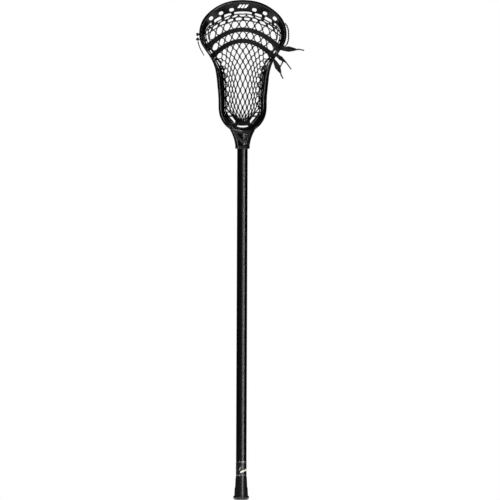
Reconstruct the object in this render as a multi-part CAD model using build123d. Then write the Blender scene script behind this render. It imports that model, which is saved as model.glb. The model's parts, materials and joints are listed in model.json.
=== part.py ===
"""Attack lacrosse stick: a moulded head with a strung mesh pocket on an octagonal alloy shaft.

Millimetres. The origin is the centre of the butt cap's foot, +Z runs up the shaft to the scoop,
-Y is the open face that catches the ball, and the pocket hangs towards +Y.
"""

import math
import os

from build123d import *

# ---- driving dimensions -------------------------------------------------------------------
OVERALL_LENGTH = 1035.0

SHAFT_LENGTH = 762.0  # the standard thirty inch attack handle
SHAFT_WIDTH = 21.8  # across the side flats, along X
SHAFT_DEPTH = 28.0  # across the front and back flats, along Y
SHAFT_WALL = 1.5
CORNER_X, CORNER_Y = 5.4, 6.25  # legs of the four corner facets
FLUTE = 0.45  # how far each flat is hollowed
FIT_GAP = 0.15  # clearance round the shaft in the head socket and in the butt cap

CAP_FLOOR = 3.6  # rubber under the end of the shaft
CAP_LENGTH = 48.4
CAP_FLANGE = (32.8, 39.0, 8.6)  # width, depth and height of the foot
CAP_STEP_HEIGHT = 25.5
CAP_STEP = 0.7  # the lower part stands proud by this much all round
CAP_FOOT_WIDTH, CAP_MOUTH_WIDTH = 28.7, 23.1
FLANGE_CORNER, FLANGE_FOOT_ROUND, FLANGE_TOP_ROUND = 12.0, 5.5, 1.8
DECAL_LOW, DECAL_HIGH, DECAL_FILM = 50.0, 80.5, 0.15

THROAT_LOW = 727.0  # open mouth of the socket
COLLAR_HEIGHT = 6.5
COLLAR_SIZE, COLLAR_CORNER = (30.1, 35.2), 6.5
SOCKET_END = CAP_FLOOR + SHAFT_LENGTH + 0.3
SHELF = (13.5, 757.0, 768.3)  # half width, bottom and top of the block that closes the socket
SCREW_HEIGHT = 741.0
SCREW_SHANK, SCREW_HEAD, SCREW_LENGTH = 4.2, 7.6, 11.0
SCREW_HEAD_HEIGHT = 2.6
SCREW_CLEARANCE = 0.3  # round the shank where it passes the shaft's wall
BOSS_BACK = 20.6  # the screw boss ends here

# Rim on the right half, from the scoop's tip to the ball stop. Each row is the front rail's
# outermost edge (x, y, z), the rear rail's innermost edge (x, y, z) and the front rail's width.
RIM = [
    ((0.0, -24.0, OVERALL_LENGTH), (0.0, 12.0, 1011.3), 6.0),
    ((19.0, -23.6, 1033.5), (15.2, 12.4, 1010.2), 6.0),
    ((37.5, -22.5, 1029.0), (30.0, 13.5, 1007.0), 6.0),
    ((64.2, -18.0, 1014.3), (52.0, 18.0, 998.5), 6.4),
    ((83.2, -11.0, 993.6), (69.5, 25.0, 985.0), 7.2),
    ((90.7, -4.0, 966.7), (79.0, 33.0, 964.5), 8.0),
    ((86.0, 0.0, 944.0), (72.5, 37.0, 938.5), 8.8),
    ((72.2, 2.5, 923.2), (57.5, 40.0, 914.5), 9.4),
    ((59.2, 3.0, 898.4), (44.0, 42.0, 892.0), 10.0),
    ((52.8, 0.0, 861.0), (38.3, 43.0, 859.0), 10.4),
    ((50.0, -5.0, 825.0), (37.3, 41.0, 825.0), 10.5),
    ((48.3, -10.0, 799.0), (36.4, 37.0, 801.0), 10.2),
    ((40.0, -15.0, 780.4), (29.5, 32.0, 786.5), 9.6),
    ((22.0, -18.5, 764.6), (16.5, 28.5, 775.0), 9.2),
    ((0.0, -20.0, 759.7), (0.0, 27.0, 771.3), 9.0),
]
WALL = 3.4  # sidewall between the rails
REAR_RAIL = 6.0
FRONT_NECK, REAR_HEEL = 11.5, 8.0  # depth of the front and rear rails along Y

SIDE_WINDOWS = [(800, 818), (823, 845), (850, 874), (879, 903), (908, 930)]
WINDOW_LEAN = 9.0  # the struts lean towards the scoop at the back
STRING_HOLES = [812, 832, 852, 872, 892, 912, 932, 951, 968]
STRING_HOLE = 3.4
SCOOP_HOLE = (9.4, 6.4)
SCOOP_DEPTH = 36.0  # from the scoop's lip to its rear rail, along Y
# Each scoop hole: x, z, tilt in degrees, depth of the scoop there, width of the scoop there as seen
# from the front, and half the length of the string's loop from the hole round the rear rail.
SCOOP_HOLES = [
    (23.6, 1014.7, 16.0, 3.9, 23.4, 6.5),
    (45.5, 1007.5, 29.0, 6.0, 21.1, 7.0),
    (66.0, 996.9, 43.0, 7.0, 17.8, 9.2),
]

# Pocket rows from the scoop to the throat: centre height, sag of the row at its ends, half width,
# edge depth and how far the middle hangs behind the edges.
POCKET = [
    (1005.5, 25.0, 66.0, 22.0, -7.5),
    (985.5, 29.0, 69.5, 29.0, 7.0),
    (963.0, 29.5, 61.0, 33.5, 18.0),
    (940.8, 25.0, 51.0, 36.0, 28.0),
    (918.0, 18.5, 41.0, 37.5, 37.0),
    (895.0, 12.0, 35.4, 38.5, 42.0),
    (870.0, 4.0, 32.4, 38.8, 43.0),
    (845.0, -3.0, 31.4, 38.5, 39.0),
    (822.0, -7.0, 31.0, 37.0, 31.0),
    (800.0, -8.0, 30.4, 34.5, 18.0),
    (787.0, -6.0, 26.0, 31.5, 8.0),
    (778.5, -3.0, 19.5, 28.5, 3.0),
]
HANG_POWER = 2.4  # how flat the pocket's floor is from side to side
MESH_THICKNESS = 1.6
LACE_THICKNESS = 1.6
SHOOTING_STRINGS = {"upper": (974.3, 0.0067), "lower": (951.2, 0.0083)}  # height, row curvature
SHOOTING_WIDTH = 10.0

CORD = 2.2  # diameter of the round strings
KNOT = 7.0
HITCH = 1.35  # radius of a small hitch where two cords meet
AGLET, AGLET_BORE, LACE_CORE = 2.7, 1.7, 1.6

# Lace tails outside the right sidewall, in planes of constant y. Each has a root, the end of its
# flat leaf and the tip of its aglet as (x, z), and the leaf's width.
TAILS = {
    "upper": (23.5, (78.0, 935.0), (111.6, 934.5), (127.1, 931.5), 11.8),
    "middle_front": (19.5, (71.5, 922.0), (84.5, 910.5), (77.0, 896.3), 8.0),
    "middle_back": (27.5, (69.5, 922.0), (86.7, 910.8), (100.2, 892.2), 9.0),
    "lower": (15.5, (66.0, 909.0), (77.4, 883.9), (83.6, 872.5), 12.0),
}
LEFT_KNOTS = [963.6, 953.6]
LEFT_TAIL = [(-93.4, 15.0, 949.0), (-88.2, 15.0, 935.6), (-80.5, 15.0, 919.5)]
RIGHT_RUN = [
    (67.0, 14.0, 987.5),
    (78.0, 14.0, 987.5),
    (88.0, 13.0, 986.0),
    (95.0, 13.0, 976.0),
    (96.3, 13.0, 964.0),
    (95.3, 14.0, 951.0),
    (89.0, 17.5, 941.5),
    (80.0, 19.0, 939.8),
    (73.0, 19.0, 939.8),
]


# ---- small helpers ------------------------------------------------------------------------
def lerp(a, b, t):
    return a + (b - a) * t


def look_up(rows, x):
    """Straight-line look-up in rows of (position, value) sorted by position."""
    for (x0, v0), (x1, v1) in zip(rows, rows[1:]):
        if x <= x1:
            return lerp(v0, v1, (x - x0) / (x1 - x0))
    return rows[-1][1]


def both_sides(shape):
    return shape + mirror(shape, about=Plane.YZ)


def octagon(width, depth, flute=0.0):
    """Octagonal face with the shaft's corner facets; every flat can be hollowed by flute."""
    x, y = width / 2, depth / 2
    corners = [(x - CORNER_X, -y), (x, CORNER_Y - y), (x, y - CORNER_Y), (x - CORNER_X, y)]
    corners += [(-cx, -cy) for cx, cy in corners]
    edges = []
    for start, end in zip(corners, corners[1:] + corners[:1]):
        middle = Vector((start[0] + end[0]) / 2, (start[1] + end[1]) / 2)
        if flute:
            hollow = middle - middle.normalized() * flute
            edges.append(Edge.make_three_point_arc(Vector(*start), hollow, Vector(*end)))
        else:
            edges.append(Edge.make_line(Vector(*start), Vector(*end)))
    return Face(Wire(edges))


def prism(face, low, high):
    return Solid.extrude(face.moved(Location((0, 0, low))), Vector(0, 0, high - low))


def tapered(low, low_size, high, high_size):
    ends = [(low, low_size), (high, high_size)]
    wires = [octagon(*size).outer_wire().moved(Location((0, 0, z))) for z, size in ends]
    return Solid.make_loft(wires, ruled=True)


def depth_prism(points, radius, y_low, y_high):
    """Prism along Y whose outline is given as (x, z) points, with rounded corners."""
    outline = Plane.XZ.offset(-y_low) * fillet(Polygon(*points, align=None).vertices(), radius)
    return Solid.extrude(outline.face(), Vector(0, y_high - y_low, 0))


def round_bar(start, end, radius):
    axis = Vector(*end) - Vector(*start)
    return Solid.make_cylinder(radius, axis.length, Plane(origin=start, z_dir=axis))


def cord(points, radius=CORD / 2):
    path = Spline(*points)
    return sweep(Plane(origin=path @ 0, z_dir=path % 0) * Circle(radius), path=path)


def knot_at(place, radius):
    """Small barrel with rounded ends, standing for a knot; its axis runs front to back."""
    barrel = Cylinder(radius, radius * 1.8, rotation=(90, 0, 0))
    return Pos(*place) * fillet(barrel.edges(), radius * 0.6)


# ---- shaft and its fittings ---------------------------------------------------------------
def socket_outline():
    return octagon(SHAFT_WIDTH + 2 * FIT_GAP, SHAFT_DEPTH + 2 * FIT_GAP)


def shaft():
    tube = prism(octagon(SHAFT_WIDTH, SHAFT_DEPTH, FLUTE), CAP_FLOOR, CAP_FLOOR + SHAFT_LENGTH)
    inside = octagon(SHAFT_WIDTH - 2 * SHAFT_WALL, SHAFT_DEPTH - 2 * SHAFT_WALL)
    bore = prism(inside, 0, OVERALL_LENGTH)
    back_wall = [(0, y, SCREW_HEIGHT) for y in (5.0, 20.0)]
    screw_hole = round_bar(*back_wall, SCREW_SHANK / 2 + SCREW_CLEARANCE)
    return tube - bore - screw_hole


def shaft_decal():
    outside = octagon(SHAFT_WIDTH + 2 * DECAL_FILM, SHAFT_DEPTH + 2 * DECAL_FILM, FLUTE)
    wrap = prism(outside, DECAL_LOW, DECAL_HIGH)
    return wrap - prism(octagon(SHAFT_WIDTH, SHAFT_DEPTH, FLUTE), DECAL_LOW, DECAL_HIGH)


def end_cap():
    deeper = SHAFT_DEPTH - SHAFT_WIDTH
    flange_width, flange_depth, flange_height = CAP_FLANGE
    taper = (CAP_FOOT_WIDTH - CAP_MOUTH_WIDTH - 2 * CAP_STEP) / (CAP_LENGTH - flange_height)
    below = CAP_FOOT_WIDTH - taper * (CAP_STEP_HEIGHT - flange_height)
    above = below - 2 * CAP_STEP

    def size(width):
        return (width, width + deeper)

    flange = extrude(RectangleRounded(flange_width, flange_depth, FLANGE_CORNER), flange_height)
    flange = fillet(flange.faces().sort_by(Axis.Z)[0].edges(), FLANGE_FOOT_ROUND)
    flange = fillet(flange.faces().sort_by(Axis.Z)[-1].edges(), FLANGE_TOP_ROUND)
    body = tapered(flange_height - 1.0, size(CAP_FOOT_WIDTH), CAP_STEP_HEIGHT, size(below))
    sleeve = tapered(CAP_STEP_HEIGHT, size(above), CAP_LENGTH, size(CAP_MOUTH_WIDTH))
    return flange + body + sleeve - prism(socket_outline(), CAP_FLOOR, CAP_LENGTH + 1)


def head_screw():
    seat = BOSS_BACK + 0.02
    top = seat + SCREW_HEAD_HEIGHT
    tip = BOSS_BACK - SCREW_LENGTH
    shank = round_bar((0, tip, SCREW_HEIGHT), (0, seat + 0.5, SCREW_HEIGHT), SCREW_SHANK / 2)
    head = round_bar((0, seat, SCREW_HEIGHT), (0, top, SCREW_HEIGHT), SCREW_HEAD / 2)
    head = fillet(head.edges().sort_by(Axis.Y)[-1], SCREW_HEAD_HEIGHT * 0.45)
    drive = Box(SCREW_HEAD * 0.58, SCREW_HEAD_HEIGHT, 1.0)
    slots = [Pos(0, top, SCREW_HEIGHT) * Rot(0, turn, 0) * drive for turn in (0, 90)]
    return shank + head - slots


# ---- head frame ---------------------------------------------------------------------------
def rim_section(row, side=1):
    """Closed section of the rim: a bulged front rail, a thin wall and a smaller rear rail.

    Section points are (out, back): out is measured outwards from the front rail's outer edge.
    """
    (x_front, y_front, z_front), (x_rear, y_rear, z_rear), rail = row
    band = math.hypot(x_front - x_rear, z_front - z_rear)
    out_x, out_z = (x_front - x_rear) / band, (z_front - z_rear) / band
    wall_front = -rail / 2
    wall_rear = REAR_RAIL / 2 - band

    def place(out, back):
        return Vector(side * (x_front + out_x * out), back, z_front + out_z * out)

    front_bulge = [
        place(wall_front - WALL / 2, y_front + FRONT_NECK),
        place(-rail * 0.97, y_front + 6.5),
        place(-rail * 0.88, y_front + 1.8),
        place(-rail * 0.6, y_front),
        place(-rail * 0.22, y_front + 1.4),
        place(0.0, y_front + 6.0),
        place(wall_front + WALL / 2, y_front + FRONT_NECK + 1.0),
    ]
    rear_bulge = [
        place(wall_rear + WALL / 2, y_rear - REAR_HEEL),
        place(REAR_RAIL * 0.98 - band, y_rear - 3.4),
        place(wall_rear, y_rear),
        place(-band, y_rear - 3.0),
        place(wall_rear - WALL / 2, y_rear - REAR_HEEL + 0.8),
    ]
    return Wire([
        Edge.make_spline(front_bulge),
        Edge.make_line(front_bulge[-1], rear_bulge[0]),
        Edge.make_spline(rear_bulge),
        Edge.make_line(rear_bulge[-1], front_bulge[0]),
    ])


def rim_ring():
    """The whole rim: one side is lofted a row past the middle at both ends, trimmed and mirrored."""
    rows = [rim_section(RIM[1], side=-1)]
    rows += [rim_section(row) for row in RIM]
    rows += [rim_section(RIM[-2], side=-1)]
    half_space = Pos(100, 0, OVERALL_LENGTH - 150) * Box(200, 200, 400)
    side = Solid.make_loft(rows) & half_space
    return both_sides(side)


def bowl_outline(y):
    """Outline of the hollow above the ball stop, drawn at depth y through the middle of the wall."""
    depth = (y + 8.0) / 27.0
    front = [(0.0, 764.2), (19.6, 768.5), (36.0, 782.6)]
    rear = [(0.0, 768.3), (17.7, 772.6), (32.0, 785.0)]
    half = [(lerp(f[0], r[0], depth), lerp(f[1], r[1], depth)) for f, r in zip(front, rear)]
    floor = [Vector(-x, y, z) for x, z in reversed(half[1:])] + [Vector(x, y, z) for x, z in half]
    top = 830.0
    return Wire([
        Edge.make_spline(floor),
        Edge.make_line(floor[-1], Vector(floor[-1].X, y, top)),
        Edge.make_line(Vector(floor[-1].X, y, top), Vector(floor[0].X, y, top)),
        Edge.make_line(Vector(floor[0].X, y, top), floor[0]),
    ])


def throat():
    """Socket body that flares from the collar into the rim, left open above the ball stop."""
    flare = [
        (THROAT_LOW + COLLAR_HEIGHT - 0.5, -17.2, 14.9, 17.2, 14.9),
        (743.0, -17.8, 16.8, 19.0, 16.2),
        (755.5, -18.8, 21.3, 22.5, 17.6),
        (765.0, -18.4, 26.6, 25.0, 16.4),
        (773.0, -16.0, 31.5, 26.0, 13.0),
    ]
    wires = []
    for z, y_front, half_front, y_back, half_back in flare:
        corners = [(half_front, y_front), (half_back, y_back)]
        corners += [(-half_back, y_back), (-half_front, y_front)]
        section = fillet(Polygon(*corners, align=None).vertices(), 5.0).wire()
        wires.append(section.moved(Location((0, 0, z))))
    body = Solid.make_loft(wires)
    body -= Solid.make_loft([bowl_outline(-30.0), bowl_outline(36.0)], ruled=True)
    half_width, low, high = SHELF
    shelf = Pos(0, 1.0, (low + high) / 2) * Box(2 * half_width, 35.0, high - low)
    outline = RectangleRounded(*COLLAR_SIZE, COLLAR_CORNER)
    collar = Pos(0, 0, THROAT_LOW) * extrude(outline, COLLAR_HEIGHT)
    collar = fillet(collar.edges().group_by(Axis.Z)[0] + collar.edges().group_by(Axis.Z)[-1], 0.8)
    boss = round_bar((0, 15, SCREW_HEIGHT), (0, BOSS_BACK, SCREW_HEIGHT), 5.5)
    return body + shelf + collar + boss


def throat_windows():
    """A triangle and a chevron open the front of the throat; two leaning slots open its back."""
    front = (-30.0, -SHAFT_DEPTH / 2 - FIT_GAP)
    triangle = depth_prism([(-10.3, 758.7), (0, 743.8), (10.3, 758.7)], 0.8, *front)
    vee = [(-9.2, 750.0), (0, 737.6), (9.2, 750.0), (7.8, 734.6), (-7.8, 734.6)]
    chevron = depth_prism(vee, 0.7, *front)
    back = (SHAFT_DEPTH / 2 + FIT_GAP, 32.0)
    slot = depth_prism([(5.0, 749.0), (11.5, 757.0), (9.8, 745.0)], 0.7, *back)
    return [triangle, chevron, *both_sides(slot).solids()]


def side_windows():
    """Leaning openings between the front and rear rails of one sidewall."""
    front_rows = sorted((f[2], f[1]) for f, _, _ in RIM)
    rear_rows = sorted((r[2], r[1]) for _, r, _ in RIM)
    windows = []
    for low, high in SIDE_WINDOWS:
        y_low = look_up(front_rows, (low + high) / 2) + FRONT_NECK + 2.5
        y_high = look_up(rear_rows, (low + high) / 2) - REAR_HEEL - 2.0
        corners = [(y_low, low), (y_high, low + WINDOW_LEAN)]
        corners += [(y_high, high + WINDOW_LEAN), (y_low, high)]
        outline = fillet(Polygon(*corners, align=None).vertices(), 3.0)
        windows.append(extrude(Plane.YZ * outline, amount=100))
    return windows


def string_hole_depth(z):
    """Depth of the row of string holes along the rear rail."""
    return look_up(sorted((r[2], r[1]) for _, r, _ in RIM), z) - 3.6


def scoop_hole(x, z, tilt, *_):
    slot = SlotOverall(SCOOP_HOLE[0], SCOOP_HOLE[1])
    return extrude(Plane.XZ * Pos(x, z, 0) * Rot(0, 0, -tilt) * slot, amount=30, both=True)


def wall_holes():
    """Where cords and laces cross the sidewalls: (side, y, z)."""
    cords = [(1, RIGHT_RUN[i][1], RIGHT_RUN[i][2]) for i in (0, -1)]
    laces = [(1, depth, root[1]) for depth, root, *_ in TAILS.values()]
    knots = [(-1, LEFT_TAIL[0][1], z) for z in LEFT_KNOTS]
    return cords + laces + knots


def head_frame():
    frame = rim_ring() + throat()
    holes = side_windows()
    holes += [round_bar((5, string_hole_depth(z), z), (100, string_hole_depth(z), z), STRING_HOLE / 2)
              for z in STRING_HOLES]
    holes += [scoop_hole(*hole) for hole in SCOOP_HOLES]
    for hole in holes:
        frame = frame - hole - mirror(hole, about=Plane.YZ)
    for side, y, z in wall_holes():
        frame -= round_bar((side * 40, y, z), (side * 100, y, z), STRING_HOLE / 2)
    for window in throat_windows():
        frame -= window
    frame -= prism(socket_outline(), THROAT_LOW - 1, SOCKET_END)
    return frame - round_bar((0, 5, SCREW_HEIGHT), (0, 30, SCREW_HEIGHT), SCREW_SHANK / 2 + 0.05)


def ball_stop_pad(frame):
    """Foam pad on the floor of the bowl, cut to the frame it is glued to."""
    top = [(-14.0, 774.5), (-7.0, 772.0), (0.0, 771.2), (7.0, 772.0), (14.0, 774.5)]
    outline = [Vector(x, -8.0, z) for x, z in top]
    base = [Vector(14.0, -8.0, 767.0), Vector(0.0, -8.0, 765.0), Vector(-14.0, -8.0, 767.0)]
    wire = Wire([Edge.make_spline(outline), *Polyline(outline[-1], *base, outline[0]).edges()])
    block = Solid.extrude(Face(wire), Vector(0, 26.0, 0))
    return (block - frame).solids().sort_by(SortBy.VOLUME)[-1]


# ---- pocket and strings -------------------------------------------------------------------
def pocket_skin():
    """Front surface of the hanging pocket."""
    steps = 12
    grid = []
    for z, sag, half_width, y_edge, hang in POCKET:
        across = [2 * i / steps - 1 for i in range(steps + 1)]
        grid.append([
            Vector(half_width * t, y_edge + hang * (1 - abs(t) ** HANG_POWER), z - sag * t * t)
            for t in across
        ])
    return Face.make_surface_from_array_of_points(grid)


def pocket_mesh():
    return Solid.thicken(pocket_skin(), -MESH_THICKNESS)


def shooting_string(height, curvature):
    """Flat lace lying on the front of the pocket along one of its rows."""
    half = SHOOTING_WIDTH / 2
    reach = 90.0
    arc = [(x, height - curvature * x * x) for x in (-reach, -reach / 2, 0, reach / 2, reach)]
    lower = Edge.make_spline([Vector(x, -20, z - half) for x, z in arc])
    upper = Edge.make_spline([Vector(x, -20, z + half) for x, z in arc])
    ends = [Edge.make_line(lower @ i, upper @ i) for i in (0, 1)]
    band = Solid.extrude(Face(Wire([lower, ends[1], upper, ends[0]])), Vector(0, 140, 0))
    layer = Solid.thicken(pocket_skin(), LACE_THICKNESS).moved(Location((0, -0.1, 0)))
    return layer & band


def top_string():
    """Cord behind the scoop with a loop through each scoop hole and round the scoop's rear rail."""
    rise = 5.4
    tips = []
    loops = []
    for x, z, tilt, depth, width, reach in SCOOP_HOLES:
        lean = math.radians(tilt)
        for side in (-1, 1):
            inward = Vector(-side * math.sin(lean), 0, -math.cos(lean))
            rearward = (inward * width + Vector(0, SCOOP_DEPTH, 0)).normalized()
            along = Vector(side * math.cos(lean), 0, -math.sin(lean))
            centre = Vector(side * x, depth, z) + rearward * reach
            path = Edge.make_ellipse(reach, rise, Plane(origin=centre, x_dir=rearward, z_dir=along))
            loops.append(sweep(Plane(origin=path @ 0, z_dir=path % 0) * Circle(CORD * 0.4), path=path))
            tips.append(centre + rearward * reach)
    tips.sort(key=lambda tip: tip.X)
    string = cord(tips)
    for loop in loops:
        string += loop
    return string


def bottom_string():
    half = [(0, 30, 775.8), (8, 29.5, 776.3), (15.5, 28.5, 777.6)]
    return cord([(-x, y, z) for x, y, z in reversed(half[1:])] + half)


def rail_line():
    """Line of the right sidewall string, just inside the rear rail."""
    inset = 3.2
    line = []
    for (x_front, _, z_front), (x_rear, y_rear, z_rear), _ in RIM[4:13]:
        band = math.hypot(x_front - x_rear, z_front - z_rear)
        line.append((
            x_rear - inset * (x_front - x_rear) / band,
            y_rear - 3.6,
            z_rear - inset * (z_front - z_rear) / band,
        ))
    return line


def right_sidewall_string():
    """Cord along the rail, with its spare length run outside the rim and tied back to it."""
    line = rail_line()
    string = cord(line) + cord(RIGHT_RUN)
    for end, anchor in ((RIGHT_RUN[0], line[0]), (RIGHT_RUN[-1], line[2])):
        ahead = (Vector(*anchor) - Vector(*end)).normalized() * CORD * 0.56
        string += round_bar(Vector(*end) - ahead, Vector(*anchor) + ahead, CORD * 0.56)
    return string


def left_sidewall_string():
    line = sorted(((z, x, y) for x, y, z in rail_line()))
    string = cord([(-x, y, z) for x, y, z in rail_line()])
    depth = LEFT_TAIL[0][1]
    for height in LEFT_KNOTS:
        rail_x = look_up([(z, x) for z, x, _ in line], height)
        root = (-rail_x, look_up([(z, y) for z, _, y in line], height), height)
        bend = (-79.5, depth, height)
        knot = (LEFT_TAIL[0][0], depth, height)
        string += knot_at(root, HITCH)
        string += round_bar(root, bend, CORD * 0.44)
        string += knot_at(bend, HITCH)
        string += round_bar(bend, knot, CORD * 0.46)
        string += knot_at(knot, KNOT / 2)
    return string


def left_tail():
    return cord(LEFT_TAIL, AGLET / 2)


def lace_tail(depth, root, leaf_end, tip, width):
    """Flat leaf that narrows to a round core; the aglet is crimped over the core."""
    start, end, point = (Vector(x, 0, z) for x, z in (root, leaf_end, tip))
    length = (end - start).length
    profile = [(0.0, 1.1), (length * 0.3, width * 0.42), (length * 0.6, width / 2), (length, 0.9)]
    upper = Spline(*profile)
    lower = Spline(*[(u, -v) for u, v in profile])
    face = Face(Wire([upper.edge(), Edge.make_line(upper @ 1, lower @ 1), lower.edge(),
                      Edge.make_line(lower @ 0, upper @ 0)]))
    flat = extrude(face, LACE_THICKNESS / 2, both=True)
    along = (end - start).normalized()
    leaf = Plane(origin=(start.X, depth, start.Z), x_dir=along, z_dir=(0, -1, 0)) * flat
    core_end = end + (point - end) * 0.8
    core = round_bar((end.X, depth, end.Z), (core_end.X, depth, core_end.Z), LACE_CORE / 2)
    return leaf + core + Pos(end.X, depth, end.Z) * Sphere(0.9)


def aglet(depth, leaf_end, tip):
    start, point = Vector(leaf_end[0], depth, leaf_end[1]), Vector(tip[0], depth, tip[1])
    mouth = start + (point - start).normalized() * 1.7
    sleeve = fillet(round_bar(mouth, point, AGLET / 2).edges(), 0.25)
    bore_end = start + (point - start) * 0.82
    return sleeve - round_bar(start, bore_end, AGLET_BORE / 2)


# ---- all sub-parts ------------------------------------------------------------------------
def build():
    frame = head_frame()
    parts = {
        "shaft": shaft(),
        "shaft_decal": shaft_decal(),
        "end_cap": end_cap(),
        "head_frame": frame,
        "head_screw": head_screw(),
        "ball_stop_pad": ball_stop_pad(frame),
        "pocket_mesh": pocket_mesh(),
        "top_string": top_string(),
        "bottom_string": bottom_string(),
        "left_sidewall_string": left_sidewall_string(),
        "right_sidewall_string": right_sidewall_string(),
        "left_tail": left_tail(),
    }
    for place, (height, curvature) in SHOOTING_STRINGS.items():
        parts[f"shooting_string_{place}"] = shooting_string(height, curvature)
    for place, (depth, root, leaf_end, tip, width) in TAILS.items():
        parts[f"lace_tail_{place}"] = lace_tail(depth, root, leaf_end, tip, width)
        parts[f"aglet_{place}"] = aglet(depth, leaf_end, tip)
    return parts


if __name__ == "__main__":
    os.makedirs("parts", exist_ok=True)
    for name, shape in build().items():
        export_step(shape, f"parts/{name}.step")
        print(name, shape.is_valid, len(shape.solids()), round(shape.volume, 1), shape.bounding_box())
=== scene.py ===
"""Looks of the attack lacrosse stick: materials for the moulded and metal parts, and every string,
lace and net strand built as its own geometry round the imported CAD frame. Lengths are millimetres
inside the script and metres in the meshes."""

import json
import math
import random

import bpy
from mathutils import Matrix, Vector, noise
from mathutils.bvhtree import BVHTree


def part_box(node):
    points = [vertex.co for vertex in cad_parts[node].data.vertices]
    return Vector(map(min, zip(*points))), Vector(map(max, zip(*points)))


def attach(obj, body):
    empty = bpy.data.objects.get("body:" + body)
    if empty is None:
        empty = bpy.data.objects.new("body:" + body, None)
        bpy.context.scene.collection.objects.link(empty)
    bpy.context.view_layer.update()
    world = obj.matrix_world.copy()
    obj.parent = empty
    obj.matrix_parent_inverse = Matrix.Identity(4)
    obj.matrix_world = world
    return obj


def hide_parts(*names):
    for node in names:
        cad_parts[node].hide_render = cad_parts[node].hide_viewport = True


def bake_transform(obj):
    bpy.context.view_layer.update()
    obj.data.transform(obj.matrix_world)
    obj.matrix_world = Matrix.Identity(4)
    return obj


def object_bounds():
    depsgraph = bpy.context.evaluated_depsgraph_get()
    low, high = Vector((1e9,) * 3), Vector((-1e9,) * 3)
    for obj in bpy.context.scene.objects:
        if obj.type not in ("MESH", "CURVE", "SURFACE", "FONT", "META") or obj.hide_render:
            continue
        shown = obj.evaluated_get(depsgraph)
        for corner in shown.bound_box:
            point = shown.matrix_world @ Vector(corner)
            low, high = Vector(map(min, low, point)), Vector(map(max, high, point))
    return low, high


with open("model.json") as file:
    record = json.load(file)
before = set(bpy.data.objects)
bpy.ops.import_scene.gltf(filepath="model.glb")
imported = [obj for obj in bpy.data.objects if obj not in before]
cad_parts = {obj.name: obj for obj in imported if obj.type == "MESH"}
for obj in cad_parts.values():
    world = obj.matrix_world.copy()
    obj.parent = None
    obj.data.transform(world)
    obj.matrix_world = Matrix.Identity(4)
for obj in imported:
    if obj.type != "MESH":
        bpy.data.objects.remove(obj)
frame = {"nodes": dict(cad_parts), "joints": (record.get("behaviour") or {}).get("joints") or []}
cad_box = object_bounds()
chance = random.Random(7)

MM = 0.001
TAU = 2 * math.pi

# ---- driving dimensions, in millimetres ---------------------------------------------------
CORD = 1.15  # radius of the sidewall, top and bottom strings
STRAND = 1.08  # radius of one strand of the net
BINDING = 0.42  # radius of the thread that binds each crossing of the net
LACE_THICKNESS = 1.5
SHOOTER_WIDTH = 9.6
SHOOTER_FLARE = 3.4  # how much wider a shooting lace is at the rims than in its middle
SHOOTER_STAND = 2.15  # how far a shooting lace lies in front of the net's rows
SHOOTER_REACH = 11.0  # how far a shooting lace runs on past the net at each end
KNOT = 5.6  # width of the two knots outside the left rim

# Centre heights of the net's rows, and how far each row's ends sag below its centre.
NET_ROWS = [1004.0, 997.0, 985.5, 974.3, 963.1, 951.2, 940.8, 930.3, 919.5, 909.4, 899.2]
NET_ROWS += [888.0, 875.6, 861.7, 848.7, 836.3, 823.9, 812.5, 803.2, 795.5, 788.5, 781.0]
ROW_SAG = [(778.5, -3.0), (787.0, -6.0), (800.0, -8.0), (822.0, -7.0), (845.0, -3.0), (870.0, 4.0)]
ROW_SAG += [(895.0, 12.0), (918.0, 18.5), (940.8, 25.0), (963.0, 29.5), (985.5, 29.0), (1005.5, 25.0)]
# Half widths of the lowest rows, which bunch over the ball stop; higher rows reach the rails.
FOOT_REACH = [(781.0, 14.0), (788.5, 20.5), (795.5, 27.0), (803.2, 31.5), (812.5, 120.0)]
CELLS = 9
EDGE_PULL = 2.6  # how far every other edge leg is drawn towards the rail
LEG_SHARE = 0.23  # half a leg's length as a share of the gap between rows
FIRST_GAP, WIDEST_GAP = 7.0, 12.0  # gap above the first row, and the most that counts for a leg
SHOOTER_ROWS = {"upper": 3, "lower": 5}

STRING_HOLES = [812, 832, 852, 872, 892, 912, 932, 951, 968]  # heights of the rear rails' holes
RAIL_INSET, RAIL_LEAD = 4.9, 3.6  # the sidewall cord lies this far inside and in front of the rail
SCOOP_LOOPS = [(23.6, 1014.7), (45.5, 1007.5), (66.0, 996.9)]  # (across, height) of the scoop's holes
# (height, radius, depth behind the net) of the three cords along the net's first rows.
TOP_CORDS = [(1006.3, 1.25, -0.8), (1000.3, 1.15, 0.4), (993.0, 1.2, -0.4)]
# (across, height) of the gathers along the ball stop and of the stays beside the bunched net.
HEM_CURVE = [(12.8, 773.6), (18.5, 777.8), (25.0, 783.4), (31.5, 790.6), (35.8, 799.0)]
STAY_LINE = [(15.0, 777.0), (21.5, 785.5), (28.5, 794.0), (34.8, 806.0)]
HEM_DEPTH = 31.0
TAIL_WIDTHS = {"upper": 11.8, "middle_front": 8.0, "middle_back": 9.0, "lower": 12.0}

FLOOR_SIZE, FLOOR_DROP = 1.2, 0.06  # metres; the floor leaves room for the pulled butt cap
LENS, SENSOR = 1000.0, 36.0
LEAN = 0.22  # degrees the stick leans to the right in the photo


# ---- small helpers ------------------------------------------------------------------------
def lerp(a, b, t):
    return a + (b - a) * t


def look_up(rows, x):
    """Straight-line look-up in rows of (position, value) sorted by position."""
    for (x0, v0), (x1, v1) in zip(rows, rows[1:]):
        if x <= x1:
            return lerp(v0, v1, max(0.0, (x - x0) / (x1 - x0)))
    return rows[-1][1]


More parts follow.
